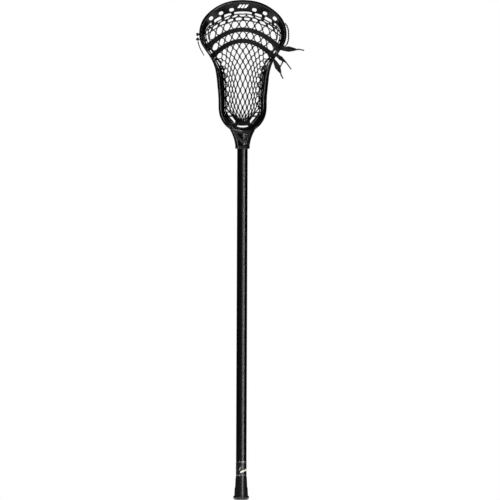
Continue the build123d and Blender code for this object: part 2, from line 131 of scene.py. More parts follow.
def smooth_path(points, step):
    """Catmull-Rom curve through the points, sampled about every step millimetres."""
    points = [Vector(p) for p in points]
    padded = [2 * points[0] - points[1]] + points + [2 * points[-1] - points[-2]]
    path = []
    for a, b, c, d in zip(padded, padded[1:], padded[2:], padded[3:]):
        count = max(1, round((c - b).length / step))
        for i in range(count):
            t = i / count
            path.append(0.5 * (2 * b + (c - a) * t + (2 * a - 5 * b + 4 * c - d) * t * t
                               + (3 * b - a - 3 * c + d) * t ** 3))
    path.append(points[-1])
    return path


def ellipse(centre, first, second, count):
    """Closed ring of points with the two given half axes."""
    turns = [TAU * i / count for i in range(count + 1)]
    return [centre + first * math.cos(turn) + second * math.sin(turn) for turn in turns]


def joint_place(child):
    """Where the joint of a moving body sits."""
    return [joint["pos_m"] for joint in frame["joints"] if joint["child"] == child][0]


class Weave:
    """Collects tubes and ribbons into one mesh, with arc length and turn stored in its UV map."""

    def __init__(self):
        self.points = []
        self.faces = []
        self.corners = []

    def sweep(self, path, section, closed=False):
        """Sweeps a section, whose place() gives (across, out), along a path; open ends are capped."""
        tangents = [(path[min(i + 1, len(path) - 1)] - path[max(i - 1, 0)]).normalized()
                    for i in range(len(path))]
        length = sum((b - a).length for a, b in zip(path, path[1:]))
        sides = section.sides
        first = len(self.points)
        across = section.across(tangents[0])
        run = 0.0
        runs = []
        for i, (centre, tangent) in enumerate(zip(path, tangents)):
            if i:
                run += (centre - path[i - 1]).length
            runs.append(run)
            across = section.carry(across, tangent)
            out = tangent.cross(across).normalized()
            for j in range(sides):
                a, b = section.place(run, run / max(length, 1e-6), j / sides)
                self.points.append((centre + across * a + out * b) * MM)
        for i in range(len(path) - 1):
            for j in range(sides):
                k = (j + 1) % sides
                base = first + i * sides
                self.faces.append((base + j, base + k, base + sides + k, base + sides + j))
                u0, u1, v0, v1 = runs[i], runs[i + 1], j / sides, (j + 1) / sides
                self.corners.append([(u0, v0), (u0, v1), (u1, v1), (u1, v0)])
        if not closed:
            last = first + (len(path) - 1) * sides
            self.faces.append(tuple(first + j for j in reversed(range(sides))))
            self.corners.append([(0.0, 0.5)] * sides)
            self.faces.append(tuple(last + j for j in range(sides)))
            self.corners.append([(run, 0.5)] * sides)

    def finish(self, name, material):
        mesh = bpy.data.meshes.new(name)
        mesh.from_pydata(self.points, [], self.faces)
        layer = mesh.uv_layers.new(name="run_turn")
        flat = [value for face in self.corners for corner in face for value in corner]
        layer.data.foreach_set("uv", flat)
        mesh.materials.append(material)
        for polygon in mesh.polygons:
            polygon.use_smooth = len(polygon.vertices) == 4
        piece = bpy.data.objects.new(name, mesh)
        bpy.context.scene.collection.objects.link(piece)
        return piece


class Round:
    """Round braided cord: the radius swells along the plaits and may taper towards the end."""

    def __init__(self, radius, sides=10, plait=0.06, pitch=4.0, taper=0.0):
        self.radius = radius
        self.sides = sides
        self.plait = plait
        self.pitch = pitch
        self.taper = taper

    def across(self, tangent):
        side = Vector((0, 0, 1)) if abs(tangent.z) < 0.9 else Vector((1, 0, 0))
        return tangent.cross(side).normalized()

    def carry(self, across, tangent):
        return (across - tangent * across.dot(tangent)).normalized()

    def place(self, run, share, turn):
        one = math.sin(TAU * (run / self.pitch + 2 * turn))
        two = math.sin(TAU * (run / self.pitch - 2 * turn))
        radius = self.radius * (1 + self.plait * max(one, two) - self.taper * share)
        return radius * math.cos(TAU * turn), radius * math.sin(TAU * turn)


class Flat:
    """Flat woven lace whose wide direction stays near the given axis."""

    edge_power, face_power = 0.55, 0.7  # below 1, so the section is boxier than an ellipse
    rib_depth, rib_pitch = 0.1, 1.7

    def __init__(self, width, axis, thickness=LACE_THICKNESS, sides=14, twist=None):
        self.width = width
        self.axis = Vector(axis)
        self.thickness = thickness
        self.sides = sides
        self.twist = twist

    def across(self, tangent):
        return (self.axis - tangent * self.axis.dot(tangent)).normalized()

    def carry(self, across, tangent):
        return self.across(tangent)

    def place(self, run, share, turn):
        wide = self.width(share) / 2
        a, b = math.cos(TAU * turn), math.sin(TAU * turn)
        a = math.copysign(abs(a) ** self.edge_power, a) * wide
        b = math.copysign(abs(b) ** self.face_power, b) * self.thickness / 2
        b *= 1 + self.rib_depth * math.sin(TAU * run / self.rib_pitch)
        if self.twist:
            angle = self.twist(share)
            c, s = math.cos(angle), math.sin(angle)
            a, b = a * c - b * s, a * s + b * c
        return a, b


# ---- material helpers ---------------------------------------------------------------------
class Look:
    """Short-hand for building one procedural material."""

    def __init__(self, name):
        self.material = bpy.data.materials.new(name)
        self.material.use_nodes = True
        self.tree = self.material.node_tree
        self.shader = self.tree.nodes["Principled BSDF"]
        self.where = self.add("ShaderNodeTexCoord")

    def add(self, kind, **settings):
        node = self.tree.nodes.new(kind)
        for key, value in settings.items():
            setattr(node, key, value)
        return node

    def feed(self, socket, value):
        if isinstance(value, bpy.types.NodeSocket):
            self.tree.links.new(value, socket)
        elif socket.type == "RGBA" and not hasattr(value, "__len__"):
            socket.default_value = (value, value, value, 1.0)
        elif socket.type == "RGBA" and len(value) == 3:
            socket.default_value = (*value, 1.0)
        else:
            socket.default_value = value

    def sum(self, kind, first, second=0.0, third=0.0):
        node = self.add("ShaderNodeMath", operation=kind)
        for socket, value in zip(node.inputs, (first, second, third)):
            self.feed(socket, value)
        return node.outputs[0]

    def within(self, value, limit):
        """1 where the value lies between minus and plus the limit, else 0."""
        return self.sum("LESS_THAN", self.sum("ABSOLUTE", value), limit)

    def millimetres(self):
        """The three object coordinates in millimetres."""
        split = self.add("ShaderNodeSeparateXYZ")
        self.feed(split.inputs[0], self.where.outputs["Object"])
        return [self.sum("DIVIDE", output, MM) for output in split.outputs]

    def stretched(self, scale, turn=(0, 0, 0)):
        node = self.add("ShaderNodeMapping")
        node.inputs["Scale"].default_value = scale
        node.inputs["Rotation"].default_value = turn
        self.feed(node.inputs["Vector"], self.where.outputs["Object"])
        return node.outputs[0]

    def grain(self, size, detail=3.0, vector=None):
        """Noise whose blotches are about size millimetres."""
        node = self.add("ShaderNodeTexNoise")
        node.inputs["Scale"].default_value = 1000.0 / size
        node.inputs["Detail"].default_value = detail
        node.inputs["Roughness"].default_value = 0.55
        self.feed(node.inputs["Vector"], vector or self.where.outputs["Object"])
        return node.outputs["Fac"]

    def ramp(self, value, *stops):
        """Grey ramp through (place, brightness) stops."""
        node = self.add("ShaderNodeValToRGB")
        colours = node.color_ramp.elements
        while len(colours) < len(stops):
            colours.new(0.5)
        for element, (place, colour) in zip(colours, stops):
            element.position = place
            element.color = (colour, colour, colour, 1)
        self.feed(node.inputs[0], value)
        return node.outputs[0]

    def blend(self, share, first, second):
        node = self.add("ShaderNodeMix", data_type="RGBA")
        self.feed(node.inputs[0], share)
        self.feed(node.inputs[6], first)
        self.feed(node.inputs[7], second)
        return node.outputs[2]

    def relief(self, height, depth, strength=1.0, edge=0.0, normal=None):
        """Bump of depth millimetres for a height between 0 and 1, on a given normal or on edges that
        are rounded to the radius edge."""
        node = self.add("ShaderNodeBump")
        node.inputs["Strength"].default_value = strength
        node.inputs["Distance"].default_value = depth * MM
        self.feed(node.inputs["Height"], height)
        if normal:
            self.feed(node.inputs["Normal"], normal)
        if edge:
            rounded = self.add("ShaderNodeBevel", samples=16)
            rounded.inputs["Radius"].default_value = edge * MM
            self.feed(node.inputs["Normal"], rounded.outputs[0])
        self.feed(self.shader.inputs["Normal"], node.outputs[0])

    def finish(self, **inputs):
        for name, value in inputs.items():
            self.feed(self.shader.inputs[name.replace("_", " ")], value)
        return self.material


def head_plastic():
    """Moulded black nylon with a fine spark texture, handling scuffs and a small painted mark that glows
    through emission, a painted brightness.
    """
    look = Look("head_plastic")
    spark = look.grain(0.35, 4.0)
    cloud = look.grain(28.0, 3.0)
    scratches = look.grain(2.4, 6.0, look.stretched((1, 1, 4), (0.3, 0.9, 0.2)))
    scuffs = look.ramp(scratches, (0.60, 0.0), (0.74, 1.0))
    worn = look.sum("MULTIPLY", scuffs, look.ramp(cloud, (0.45, 0.0), (0.7, 0.55)))
    black = look.blend(cloud, (0.0022, 0.0022, 0.0024), (0.0045, 0.0045, 0.0048))
    scuffed = look.blend(worn, black, (0.016, 0.016, 0.017))
    mark = scoop_mark(look)
    colour = look.blend(mark, scuffed, (0.86, 0.86, 0.85))
    height = look.sum("ADD", look.sum("MULTIPLY", spark, 0.6), look.sum("MULTIPLY", worn, 0.4))
    look.relief(height, 0.010, 0.06, edge=1.6)
    rough = look.sum("ADD", look.sum("MULTIPLY", spark, 0.06), 0.16)
    rough = look.sum("ADD", rough, look.sum("MULTIPLY", worn, 0.2))
    # the mark's emission makes it glow by itself: painted brightness, not a lamp
    return look.finish(Base_Color=colour, Roughness=rough, Specular_IOR_Level=0.5,
                       Emission_Color=colour, Emission_Strength=look.sum("MULTIPLY", mark, 0.75))


def scoop_mark(look):
    """White painted mark on the front of the scoop: three short leaning bars of a plain design."""
    drop, shift = 13.2, 0.6  # from the top of the head, and to the right of its middle
    half_width, half_height = 10.2, 3.4
    lean, pitch, bar = 0.75, 3.4, 2.3
    x, _, z = look.millimetres()
    z = look.sum("SUBTRACT", z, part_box("head_frame")[1].z / MM - drop)
    across = look.sum("SUBTRACT", x, look.sum("MULTIPLY", z, lean))
    bars = look.sum("LESS_THAN", look.sum("PINGPONG", across, pitch), bar)
    wide = look.within(look.sum("SUBTRACT", across, shift), half_width)
    inside = look.sum("MULTIPLY", wide, look.within(z, half_height))
    facing = look.add("ShaderNodeSeparateXYZ")
    look.feed(facing.inputs[0], look.add("ShaderNodeNewGeometry").outputs["True Normal"])
    front = look.sum("LESS_THAN", facing.outputs[1], -0.2)
    return look.sum("MULTIPLY", look.sum("MULTIPLY", inside, front), bars)


def anodised_alloy():
    """Black anodised tube with fine drawing lines along it and a few rubbed patches."""
    look = Look("anodised_alloy")
    lines = look.grain(0.5, 3.0, look.stretched((1, 1, 0.012)))
    rubbed = look.ramp(look.grain(14.0, 5.0, look.stretched((1, 1, 0.25))), (0.56, 0.0), (0.74, 1.0))
    drawn = look.blend(lines, (0.004, 0.004, 0.0044), (0.008, 0.008, 0.0085))
    colour = look.blend(rubbed, drawn, (0.012, 0.012, 0.0125))
    look.relief(lines, 0.003, 0.03)
    rough = look.sum("ADD", look.sum("MULTIPLY", lines, 0.02), look.sum("MULTIPLY_ADD", rubbed, 0.02, 0.19))
    return look.finish(Base_Color=colour, Metallic=0.55, Roughness=rough)


def butt_rubber():
    """Black rubber with a pebbled skin and softly bulging faces, dusty towards the foot."""
    dusty, ridge, curve = 12.0, 5.0, 0.04  # height of the dust, where the bulge crests, turn per mm
    look = Look("butt_rubber")
    x, _, z = look.millimetres()
    pebbles = look.add("ShaderNodeTexVoronoi", feature="SMOOTH_F1")
    pebbles.inputs["Scale"].default_value = 1000.0 / 0.9
    look.feed(pebbles.inputs["Vector"], look.where.outputs["Object"])
    low = look.ramp(look.sum("DIVIDE", z, dusty), (0.0, 1.0), (1.0, 0.0))
    dust = look.sum("MULTIPLY", low, look.ramp(look.grain(5.0, 6.0), (0.4, 0.0), (0.7, 0.6)))
    skin = look.blend(look.grain(9.0), (0.003, 0.003, 0.0033), (0.007, 0.007, 0.007))
    colour = look.blend(dust, skin, (0.03, 0.029, 0.027))
    bulge = look.add("ShaderNodeCombineXYZ")
    look.feed(bulge.inputs[0], look.sum("MULTIPLY", look.sum("SUBTRACT", x, ridge), curve))
    leaning = look.add("ShaderNodeVectorMath", operation="ADD")
    look.feed(leaning.inputs[0], look.add("ShaderNodeNewGeometry").outputs["Normal"])
    look.feed(leaning.inputs[1], bulge.outputs[0])
    faced = look.add("ShaderNodeVectorMath", operation="NORMALIZE")
    look.feed(faced.inputs[0], leaning.outputs[0])
    look.relief(pebbles.outputs[0], 0.012, 0.1, normal=faced.outputs[0])
    return look.finish(Base_Color=colour, Roughness=look.sum("MULTIPLY_ADD", dust, 0.1, 0.24))


def decal_film():
    """Printed film: a leaning pale slash and a leaf over black with grey flecks, a plain pattern; the whole
    film glows faintly through emission, a painted brightness.
    """
    look = Look("decal_film")
    low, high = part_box("shaft_decal")
    height = (high.z - low.z) / MM
    border_width = 2.6
    slash_height, slash_rise, slash_half, slash_start = 8.2, 0.42, 1.9, -2.2
    leaf_height, leaf_lean, leaf_shift, leaf_half, leaf_reach = 15.0, 0.35, 2.6, 1.0, 3.4
    x, _, z = look.millimetres()
    z = look.sum("SUBTRACT", z, low.z / MM)
    rise = look.sum("SUBTRACT", look.sum("SUBTRACT", z, slash_height), look.sum("MULTIPLY", x, slash_rise))
    slash = look.sum("MULTIPLY", look.within(rise, slash_half), look.sum("GREATER_THAN", x, slash_start))
    above = look.sum("SUBTRACT", z, leaf_height)
    lean = look.sum("SUBTRACT", x, look.sum("MULTIPLY", above, leaf_lean))
    leaf = look.within(look.sum("ADD", lean, leaf_shift), leaf_half)
    leaf = look.sum("MULTIPLY", leaf, look.within(above, leaf_reach))
    from_middle = look.sum("ABSOLUTE", look.sum("SUBTRACT", z, height / 2))
    border = look.sum("GREATER_THAN", from_middle, height / 2 - border_width)
    dots = look.ramp(look.grain(2.6, 1.0), (0.5, 0.0), (0.56, 1.0))
    specks = look.grain(3.2, 2.0, look.stretched((1, 1, 0.5), (0, 0.5, 0)))
    flecks = look.ramp(specks, (0.6, 0.0), (0.66, 1.0))
    dark = look.blend(flecks, (0.003, 0.003, 0.0032), (0.035, 0.035, 0.033))
    ink = look.blend(look.grain(1.1, 3.0), (0.62, 0.61, 0.52), (0.86, 0.85, 0.76))
    colour = look.blend(look.sum("MULTIPLY", border, dots), dark, (0.30, 0.30, 0.29))
    colour = look.blend(leaf, colour, (0.30, 0.30, 0.28))
    colour = look.blend(slash, colour, ink)
    look.relief(look.grain(3.0), 0.03, 0.3)
    # the emission makes the film glow by itself: painted brightness, not a lamp
    return look.finish(Base_Color=colour, Roughness=0.22, Emission_Color=colour, Emission_Strength=0.35)


def screw_steel():
    """Black zinc screw with bright wear round the drive."""
    look = Look("screw_steel")
    worn = look.ramp(look.grain(0.9, 5.0), (0.42, 0.0), (0.62, 1.0))
    colour = look.blend(worn, (0.10, 0.10, 0.105), (0.42, 0.42, 0.43))
    look.relief(look.grain(0.3, 4.0), 0.03, 0.4)
    rough = look.sum("MULTIPLY_ADD", worn, 0.15, 0.27)
    return look.finish(Base_Color=colour, Metallic=1.0, Roughness=rough)


def foam_rubber():
    """Closed-cell foam with open pores on its skin, their middles darkened in the colour as painted shade.
    """
    look = Look("foam_rubber")
    pores = look.add("ShaderNodeTexVoronoi", feature="F1")
    pores.inputs["Scale"].default_value = 1000.0 / 0.8
    look.feed(pores.inputs["Vector"], look.where.outputs["Object"])
    # painted shade: the colour darkens towards each pore's middle, where the bump sinks
    painted_pore_shade = look.ramp(pores.outputs[0], (0.15, 0.0), (0.5, 1.0))
    colour = look.blend(painted_pore_shade, (0.006, 0.006, 0.006), (0.035, 0.035, 0.036))
    look.relief(pores.outputs[0], 0.12, 0.8)
    return look.finish(Base_Color=colour, Roughness=0.85)


def cord_nylon(name, pitch, plaits, dark, pale, rough=0.5):
    """Braided nylon: crossing plaits from the swept run and turn, with a soft sheen; the colour is paler on
    the plaits' crests and darker in the grooves, painted light and shade, varied by the fibre.
    """
    look = Look(name)
    split = look.add("ShaderNodeSeparateXYZ")
    look.feed(split.inputs[0], look.where.outputs["UV"])
    run = look.sum("MULTIPLY", split.outputs[0], TAU / pitch)
    turn = look.sum("MULTIPLY", split.outputs[1], TAU * plaits)
    one = look.sum("SINE", look.sum("ADD", run, turn))
    two = look.sum("SINE", look.sum("SUBTRACT", run, turn))
    plait = look.sum("MULTIPLY_ADD", look.sum("MAXIMUM", one, two), 0.5, 0.5)
    fibre = look.grain(0.25, 3.0)
    # painted light and shade: paler on the plaits' crests, darker in their grooves, with a random fibre
    # tone
    plait_shade_and_fibre_tone = look.sum("MULTIPLY", plait, look.sum("MULTIPLY_ADD", fibre, 0.6, 0.6))
    colour = look.blend(plait_shade_and_fibre_tone, dark, pale)
    look.relief(look.sum("ADD", plait, look.sum("MULTIPLY", fibre, 0.3)), 0.12, 0.8)
    return look.finish(Base_Color=colour, Roughness=rough, Sheen_Weight=0.06, Sheen_Roughness=0.5)


def aglet_plastic():
    """Heat-shrunk black tip with faint wrinkles round it."""
    look = Look("aglet_plastic")
    wrinkles = look.grain(1.2, 3.0)
    colour = look.blend(wrinkles, (0.010, 0.010, 0.011), (0.022, 0.022, 0.023))
    look.relief(wrinkles, 0.08, 0.5)
    return look.finish(Base_Color=colour, Roughness=0.3, Coat_Weight=0.3)


# ---- surfaces of the CAD frame ------------------------------------------------------------
def tree_of(node):
    mesh = frame["nodes"][node].data
    return BVHTree.FromPolygons([v.co[:] for v in mesh.vertices], [p.vertices[:] for p in mesh.polygons])


pocket_tree = tree_of("pocket_mesh")
head_tree = tree_of("head_frame")


def pocket_depth(x, z):
    """Depth of the pocket's front at (x, z), or None outside it."""
    hit = pocket_tree.ray_cast(Vector((x, -100, z)) * MM, Vector((0, 1, 0)))[0]
    return hit.y / MM if hit else None


def pocket_edge(height, sag, side):
    """Where a row that sags from its centre height meets the pocket's edge, as x."""
    inside, outside = 0.0, 100.0
    for _ in range(22):
        middle = (inside + outside) / 2
        if pocket_depth(side * middle, height - sag) is None:
            outside = middle
        else:
            inside = middle
    return inside - 0.15


class Row:
    """One row of the net: a sagging line from edge to edge on the pocket."""

    def __init__(self, height):
        self.height = height
        self.sag = look_up(ROW_SAG, height)
        self.reach = min(pocket_edge(height, self.sag, side) for side in (-1, 1))
        self.reach = min(self.reach, look_up(FOOT_REACH, height))
        steps = 48
        self.line = [self.at(2 * i / steps - 1) for i in range(steps + 1)]
        self.runs = [0.0]
        for a, b in zip(self.line, self.line[1:]):
            self.runs.append(self.runs[-1] + (b - a).length)

    def at(self, t):
        x = self.reach * t
        z = self.height - self.sag * t * t
        depth = pocket_depth(x, z)
        while depth is None:
            x *= 0.995
            z += 0.15 if self.sag > 0 else -0.15
            depth = pocket_depth(x, z)
        return Vector((x, depth + 0.8, z))

    def spread(self, u):
        """Point for a share u of the row: mostly even along the cloth, partly even across."""
        target = (u + 1) / 2 * self.runs[-1]
        for i, run in enumerate(self.runs[1:]):
            if target <= run + 1e-9:
                share = (target - self.runs[i]) / max(run - self.runs[i], 1e-9)
                along = 2 * (i + share) / (len(self.runs) - 1) - 1
                return self.at(max(-1.0, min(1.0, lerp(u, along, 0.72))))
        return self.at(1.0)


rows = [Row(height) for height in NET_ROWS]


def column(row, i):
    """Share of the row at which leg i stands; rows alternate by half a cell."""
    if row % 2 == 0:
        return 2 * i / CELLS - 1
    return max(-1.0, min(1.0, (2 * i - 1) / CELLS - 1))


def net_legs():
    """Centre, side direction and down direction of every leg, with small irregularities."""
    legs = {}
    for r, row in enumerate(rows):
        for i in range(CELLS + 1 + r % 2):
            u = column(r, i)
            centre = row.spread(u)
            ahead = rows[min(r + 1, len(rows) - 1)].spread(u)
            behind = rows[max(r - 1, 0)].spread(u)
            down = (ahead - behind).normalized()
            side = (row.spread(min(1, u + 0.05)) - row.spread(max(-1, u - 0.05))).normalized()
            edge = abs(u) > 0.999
            slack = 0.15 if edge else (0.9 if r < 2 else 0.45)
            centre = centre + side * chance.uniform(-slack, slack) + down * chance.uniform(-slack, slack)
            if edge and r % 2 == 0 and 3 < r < len(rows) - 2:
                centre += side * math.copysign(EDGE_PULL, u)
            legs[r, i] = (centre, side, down, edge)
    return legs


def strand_path(legs, k):
    """Zigzag strand k: on even rows it runs down leg k // 2, on odd rows down a leg beside it."""
    home, lean = k // 2, k % 2
    points = []
    for r in range(len(rows)):
        i = home if r % 2 == 0 else home + lean
        centre, side, down, edge = legs[r, i]
        left = (lean == 0) if r % 2 == 0 else (lean == 1)
        offset = side * (-STRAND if left else STRAND) * (0.0 if edge and r % 2 else 0.92)
        gap = min(abs(NET_ROWS[r] - NET_ROWS[r - 1]) if r else FIRST_GAP, WIDEST_GAP)
        half = LEG_SHARE * gap if r > 1 else 0.8
        twist = down.cross(side) * (0.35 if left else -0.35)
        points += [centre + offset - down * half + twist, centre + offset + down * half - twist]
    return points


def net():
    """The whole net: zigzag strands side by side, bound together where they meet."""
    legs = net_legs()
    weave = Weave()
    for k in range(2 * (CELLS + 1)):
        path = smooth_path(strand_path(legs, k), 1.1)
        weave.sweep(path, Round(STRAND, sides=8, plait=0.09, pitch=2.6))
    for (r, i), (centre, side, down, edge) in legs.items():
        if r in (0, len(rows) - 1):
            continue
        normal = down.cross(side)
        reach = STRAND * (1.0 if edge and r % 2 else 1.9) + 0.35
        ring = ellipse(centre, side * reach, normal * (STRAND + 0.35), count=14)
        weave.sweep(ring, Round(BINDING, sides=5, plait=0.0), closed=True)
    return weave, legs


def shooting_lace(row_index):
    """Flat lace along a row, over the front of the net, and on to the rim at both ends."""
    row = rows[row_index]
    steps = 64
    points = []
    for i in range(steps + 1):
        t = 2 * i / steps - 1
        ripple = 0.35 * math.cos(TAU * t * CELLS / 2)
        points.append(row.at(t) + Vector((0, ripple - SHOOTER_STAND, 0)))
    for end, inner in ((0, 3), (-1, -4)):
        away = (points[end] - points[inner]).normalized()
        reach = points[end] + away * SHOOTER_REACH + Vector((0, -1.5, 0))
        points.insert(0 if end == 0 else len(points), reach)

    def width(share):
        return SHOOTER_WIDTH + SHOOTER_FLARE * abs(2 * share - 1) ** 3

    weave = Weave()
    weave.sweep(smooth_path(points, 1.2), Flat(width, (0, 0, 1), sides=16))
    return weave


# ---- strings round the rim ----------------------------------------------------------------
def rail_back(height, side):
    """Rearmost point of the rear rail at a height, found on the CAD head."""
    best = None
    for step in range(150):
        x = side * (20 + step * 0.5)
        hit = head_tree.ray_cast(Vector((x, 120, height)) * MM, Vector((0, -1, 0)))[0]
        if hit and (best is None or hit.y > best.y):
            best = hit
    return best / MM


def side_line(side):
    """Line of the sidewall string, just inside the rear rail."""
    line = []
    low, high, count = 790.0, 986.0, 18
    for i in range(count + 1):
        height = lerp(low, high, i / count)
        back = rail_back(height, side)
        ahead = rail_back(min(height + 3, 988), side)
        inward = Vector((0, 1, 0)).cross(ahead - back).normalized()
        if inward.x * side > 0:
            inward = -inward
        line.append(back + inward * RAIL_INSET + Vector((0, -RAIL_LEAD, 0)))
    return line


def sidewall_cords(side, legs, weave):
    """Cord along the rail, two loops round the rail at each hole and a tie round each edge leg."""
    line = side_line(side)
    weave.sweep(smooth_path(line, 0.7), Round(CORD, plait=0.07, pitch=3.0))
    for hole in STRING_HOLES:
        back = rail_back(hole, side)
        ahead = rail_back(hole + 3, side)
        along = (ahead - back).normalized()
        outward = along.cross(Vector((0, 1, 0))).normalized()
        if outward.x * side < 0:
            outward = -outward
        for shift in (-1.25, 1.25):
            centre = back + Vector((0, -1.4, 0)) + along * shift * 0.9
            loop = ellipse(centre, outward * 4.6, Vector((0, 2.7, 0)) + along * shift * 0.3, count=36)
            weave.sweep(loop, Round(CORD * 0.82, sides=8, plait=0.05, pitch=3.0), closed=True)
    for (r, i), (centre, _, down, edge) in legs.items():
        if not edge or centre.x * side < 0 or r < 3 or r > len(rows) - 2:
            continue
        nearest = min(line, key=lambda p: (p - centre).length)
        upper = [p for p in line if p.z >= centre.z][:1] or [nearest]
        lower = [p for p in line if p.z < centre.z][-1:] or [nearest]
        gap = max(upper[0].z - lower[0].z, 1e-6)
        anchor = lerp(lower[0], upper[0], min(1.0, max(0.0, (centre.z - lower[0].z) / gap)))
        reach = centre - anchor
        normal = reach.normalized().cross(down).normalized()
        long_half = reach.normalized() * (reach.length / 2 + 1.9)
        loop = ellipse((centre + anchor) / 2, long_half, normal * 1.9, count=30)
        weave.sweep(loop, Round(CORD * 0.8, sides=8, plait=0.05, pitch=3.0), closed=True)


def knot(centre, size, weave, turn):
    """Tight overhand knot: a trefoil of cord pulled small."""
    path = []
    spin = Matrix.Rotation(turn, 3, "Y")
    for i in range(73):
        t = TAU * i / 72
        x = math.sin(t) + 2 * math.sin(2 * t)
        z = math.cos(t) - 2 * math.cos(2 * t)
        path.append(centre + spin @ Vector((x, -1.1 * math.sin(3 * t), z)) * (size / 6))
    weave.sweep(path, Round(CORD * 0.95, sides=8, plait=0.05, pitch=3.0), closed=True)


def left_string(legs):
    """Left sidewall string; its two ends come out over the rim and are knotted there."""
    weave = Weave()
    sidewall_cords(-1, legs, weave)
    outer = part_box("left_sidewall_string")[0].x / MM
    anchor = joint_place("left_tail")
    depth = anchor[1] / MM
    for height, turn in ((anchor[2] / MM + 14.6, 0.4), (anchor[2] / MM + 4.6, 1.3)):
        rail = rail_back(height, -1)
        start = Vector((rail.x + 6, rail.y - 3.6, height))
        bend = Vector((rail.x + 2.5, depth, height))
        end = Vector((outer + 3.2, depth, height))
        weave.sweep(smooth_path([start, bend, lerp(bend, end, 0.5), end], 0.7), Round(CORD * 0.95))
        knot(end, KNOT, weave, turn)
    return weave


def right_string(legs):
    """Right sidewall string; its spare length runs outside the rim with a second cord round it."""
    weave = Weave()
    sidewall_cords(1, legs, weave)
    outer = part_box("right_sidewall_string")[1].x / MM - CORD
    run = [(67, 14, 987.5), (78, 14, 987.5), (88, 13, 986), (outer - 3.0, 13, 976), (outer - 1.7, 13, 964)]
    run += [(outer - 2.6, 14, 951), (89, 17.5, 941.5), (80, 19, 939.8), (73, 19, 939.8)]
    path = smooth_path(run, 0.7)
    weave.sweep(path, Round(CORD * 0.9))
    coil = []
    coil_from, coil_inner = 944, 84  # the second cord winds only above and outside these
    coil_radius, coil_pitch, step = 1.35, 5.2, 0.7
    turns = 0.0
    for i in range(2, len(path) - 2):
        if path[i].z < coil_from or path[i].x < coil_inner:
            continue
        tangent = (path[i + 1] - path[i - 1]).normalized()
        side = tangent.cross(Vector((0, 1, 0))).normalized()
        turns += TAU * step / coil_pitch
        out = side * math.cos(turns) + Vector((0, 1, 0)) * math.sin(turns)
        coil.append(path[i] + out * coil_radius)
    weave.sweep(smooth_path(coil, step), Round(CORD * 0.62, sides=7))
    return weave


def top_string(legs):
    """Cords along the net's first rows, tied to its legs and, behind the scoop, to its holes."""
    weave = Weave()
    highest = None
    for height, radius, back in TOP_CORDS:
        row = Row(min(height, 1005.4))
        lift = Vector((0, back, height - row.height))
        line = [row.at(2 * i / 26 - 1) + lift for i in range(27)]
        line = [p + Vector((0, 0.3, 0.5)) * chance.uniform(-1, 1) for p in line]
        first, last = line[0] - line[1], line[-1] - line[-2]
        line = [line[0] + first * 0.9] + line + [line[-1] + last * 0.9]
        highest = highest or line
        weave.sweep(smooth_path(line, 0.8), Round(radius, plait=0.07, pitch=3.0))
    for x, z in SCOOP_LOOPS:
        for side in (-1, 1):
            front = head_tree.ray_cast(Vector((side * (x + 6), -100, z - 4)) * MM, Vector((0, 1, 0)))[0]
            depth = front.y / MM if front else -10
            target = min(highest, key=lambda p: (p - Vector((side * x * 0.9, p.y, z - 12))).length)
            for shift in (-1.6, 0.2, 2.0):
                along = Vector((side * shift, 0, -0.35 * shift))
                hole = Vector((side * x * 0.97, depth + 5.5, z - 4.6)) + along
                behind = Vector((side * x * 0.96, 17.5, z - 6)) + along
                tie = target + along
                path = [hole, lerp(hole, behind, 0.5) + Vector((0, 2, 1)), behind]
                for step in ((0, 2.2, 0), (0, 0.4, -2.2), (0, -1.9, 0), (0, -1.0, 4.0), (0, 1.5, 7.0)):
                    path.append(tie + Vector(step))
                weave.sweep(smooth_path(path, 0.8), Round(CORD * 0.85, sides=8))
    for r in (0, 1):
        for i in range(CELLS + 1 + r):
            centre, side, down, _ = legs[r, i]
            loop = ellipse(centre + Vector((0, -0.2, 0.2)), down * 3.1, down.cross(side) * 2.0, count=26)
            weave.sweep(loop, Round(CORD * 0.8, sides=8), closed=True)
    return weave


def bottom_string(legs):
    """Cords along the foot of the net, with two gathers and a stay up each side, and the ties of
    the last row's legs."""
    weave = Weave()
    low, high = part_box("bottom_string")
    last = len(rows) - 1
    middle = Vector((0, (low.y + high.y) / 2, low.z + CORD * MM)) / MM
    line = []
    for share in (-1, -0.5, 0, 0.5, 1):
        place = (high.x / MM * share, middle.y - abs(share) * 0.8, middle.z + 1.8 * share * share)
        line.append(Vector(place))
    weave.sweep(smooth_path(line, 0.7), Round(CORD))
    for lift in (2.2, 4.4):
        hem = [p + Vector((-p.x * lift * 0.02, -0.4 * lift, lift)) for p in line]
        weave.sweep(smooth_path(hem, 0.7), Round(CORD * 1.1))
    for side in (-1, 1):
        for lift in (0.0, 2.1):
            gather = [line[2 + 2 * side] + Vector((-side * 2.0, -0.5, lift))]
            for x, height in HEM_CURVE:
                gather.append(Vector((side * (x - 0.7 * lift), HEM_DEPTH, height + lift)))
            weave.sweep(smooth_path(gather, 0.8), Round(CORD * 1.05))
        stay = [Vector((side * x, HEM_DEPTH, height)) for x, height in STAY_LINE]
        weave.sweep(smooth_path(stay, 0.8), Round(CORD * 0.9))
    for i in range(CELLS + 1 + last % 2):
        centre = legs[last, i][0]
        share = centre.x / (2 * max(abs(legs[last, 0][0].x), 1))
        foot = line[2] + (line[-1] - line[0]) * share * 0.95
        foot = Vector((foot.x, line[2].y, middle.z + 1.8 * (foot.x * MM / high.x) ** 2))
        path = smooth_path([centre + Vector((0, 0, 1.5)), lerp(centre, foot, 0.5), foot], 0.8)
        weave.sweep(path, Round(STRAND * 1.15, sides=8))
    return weave


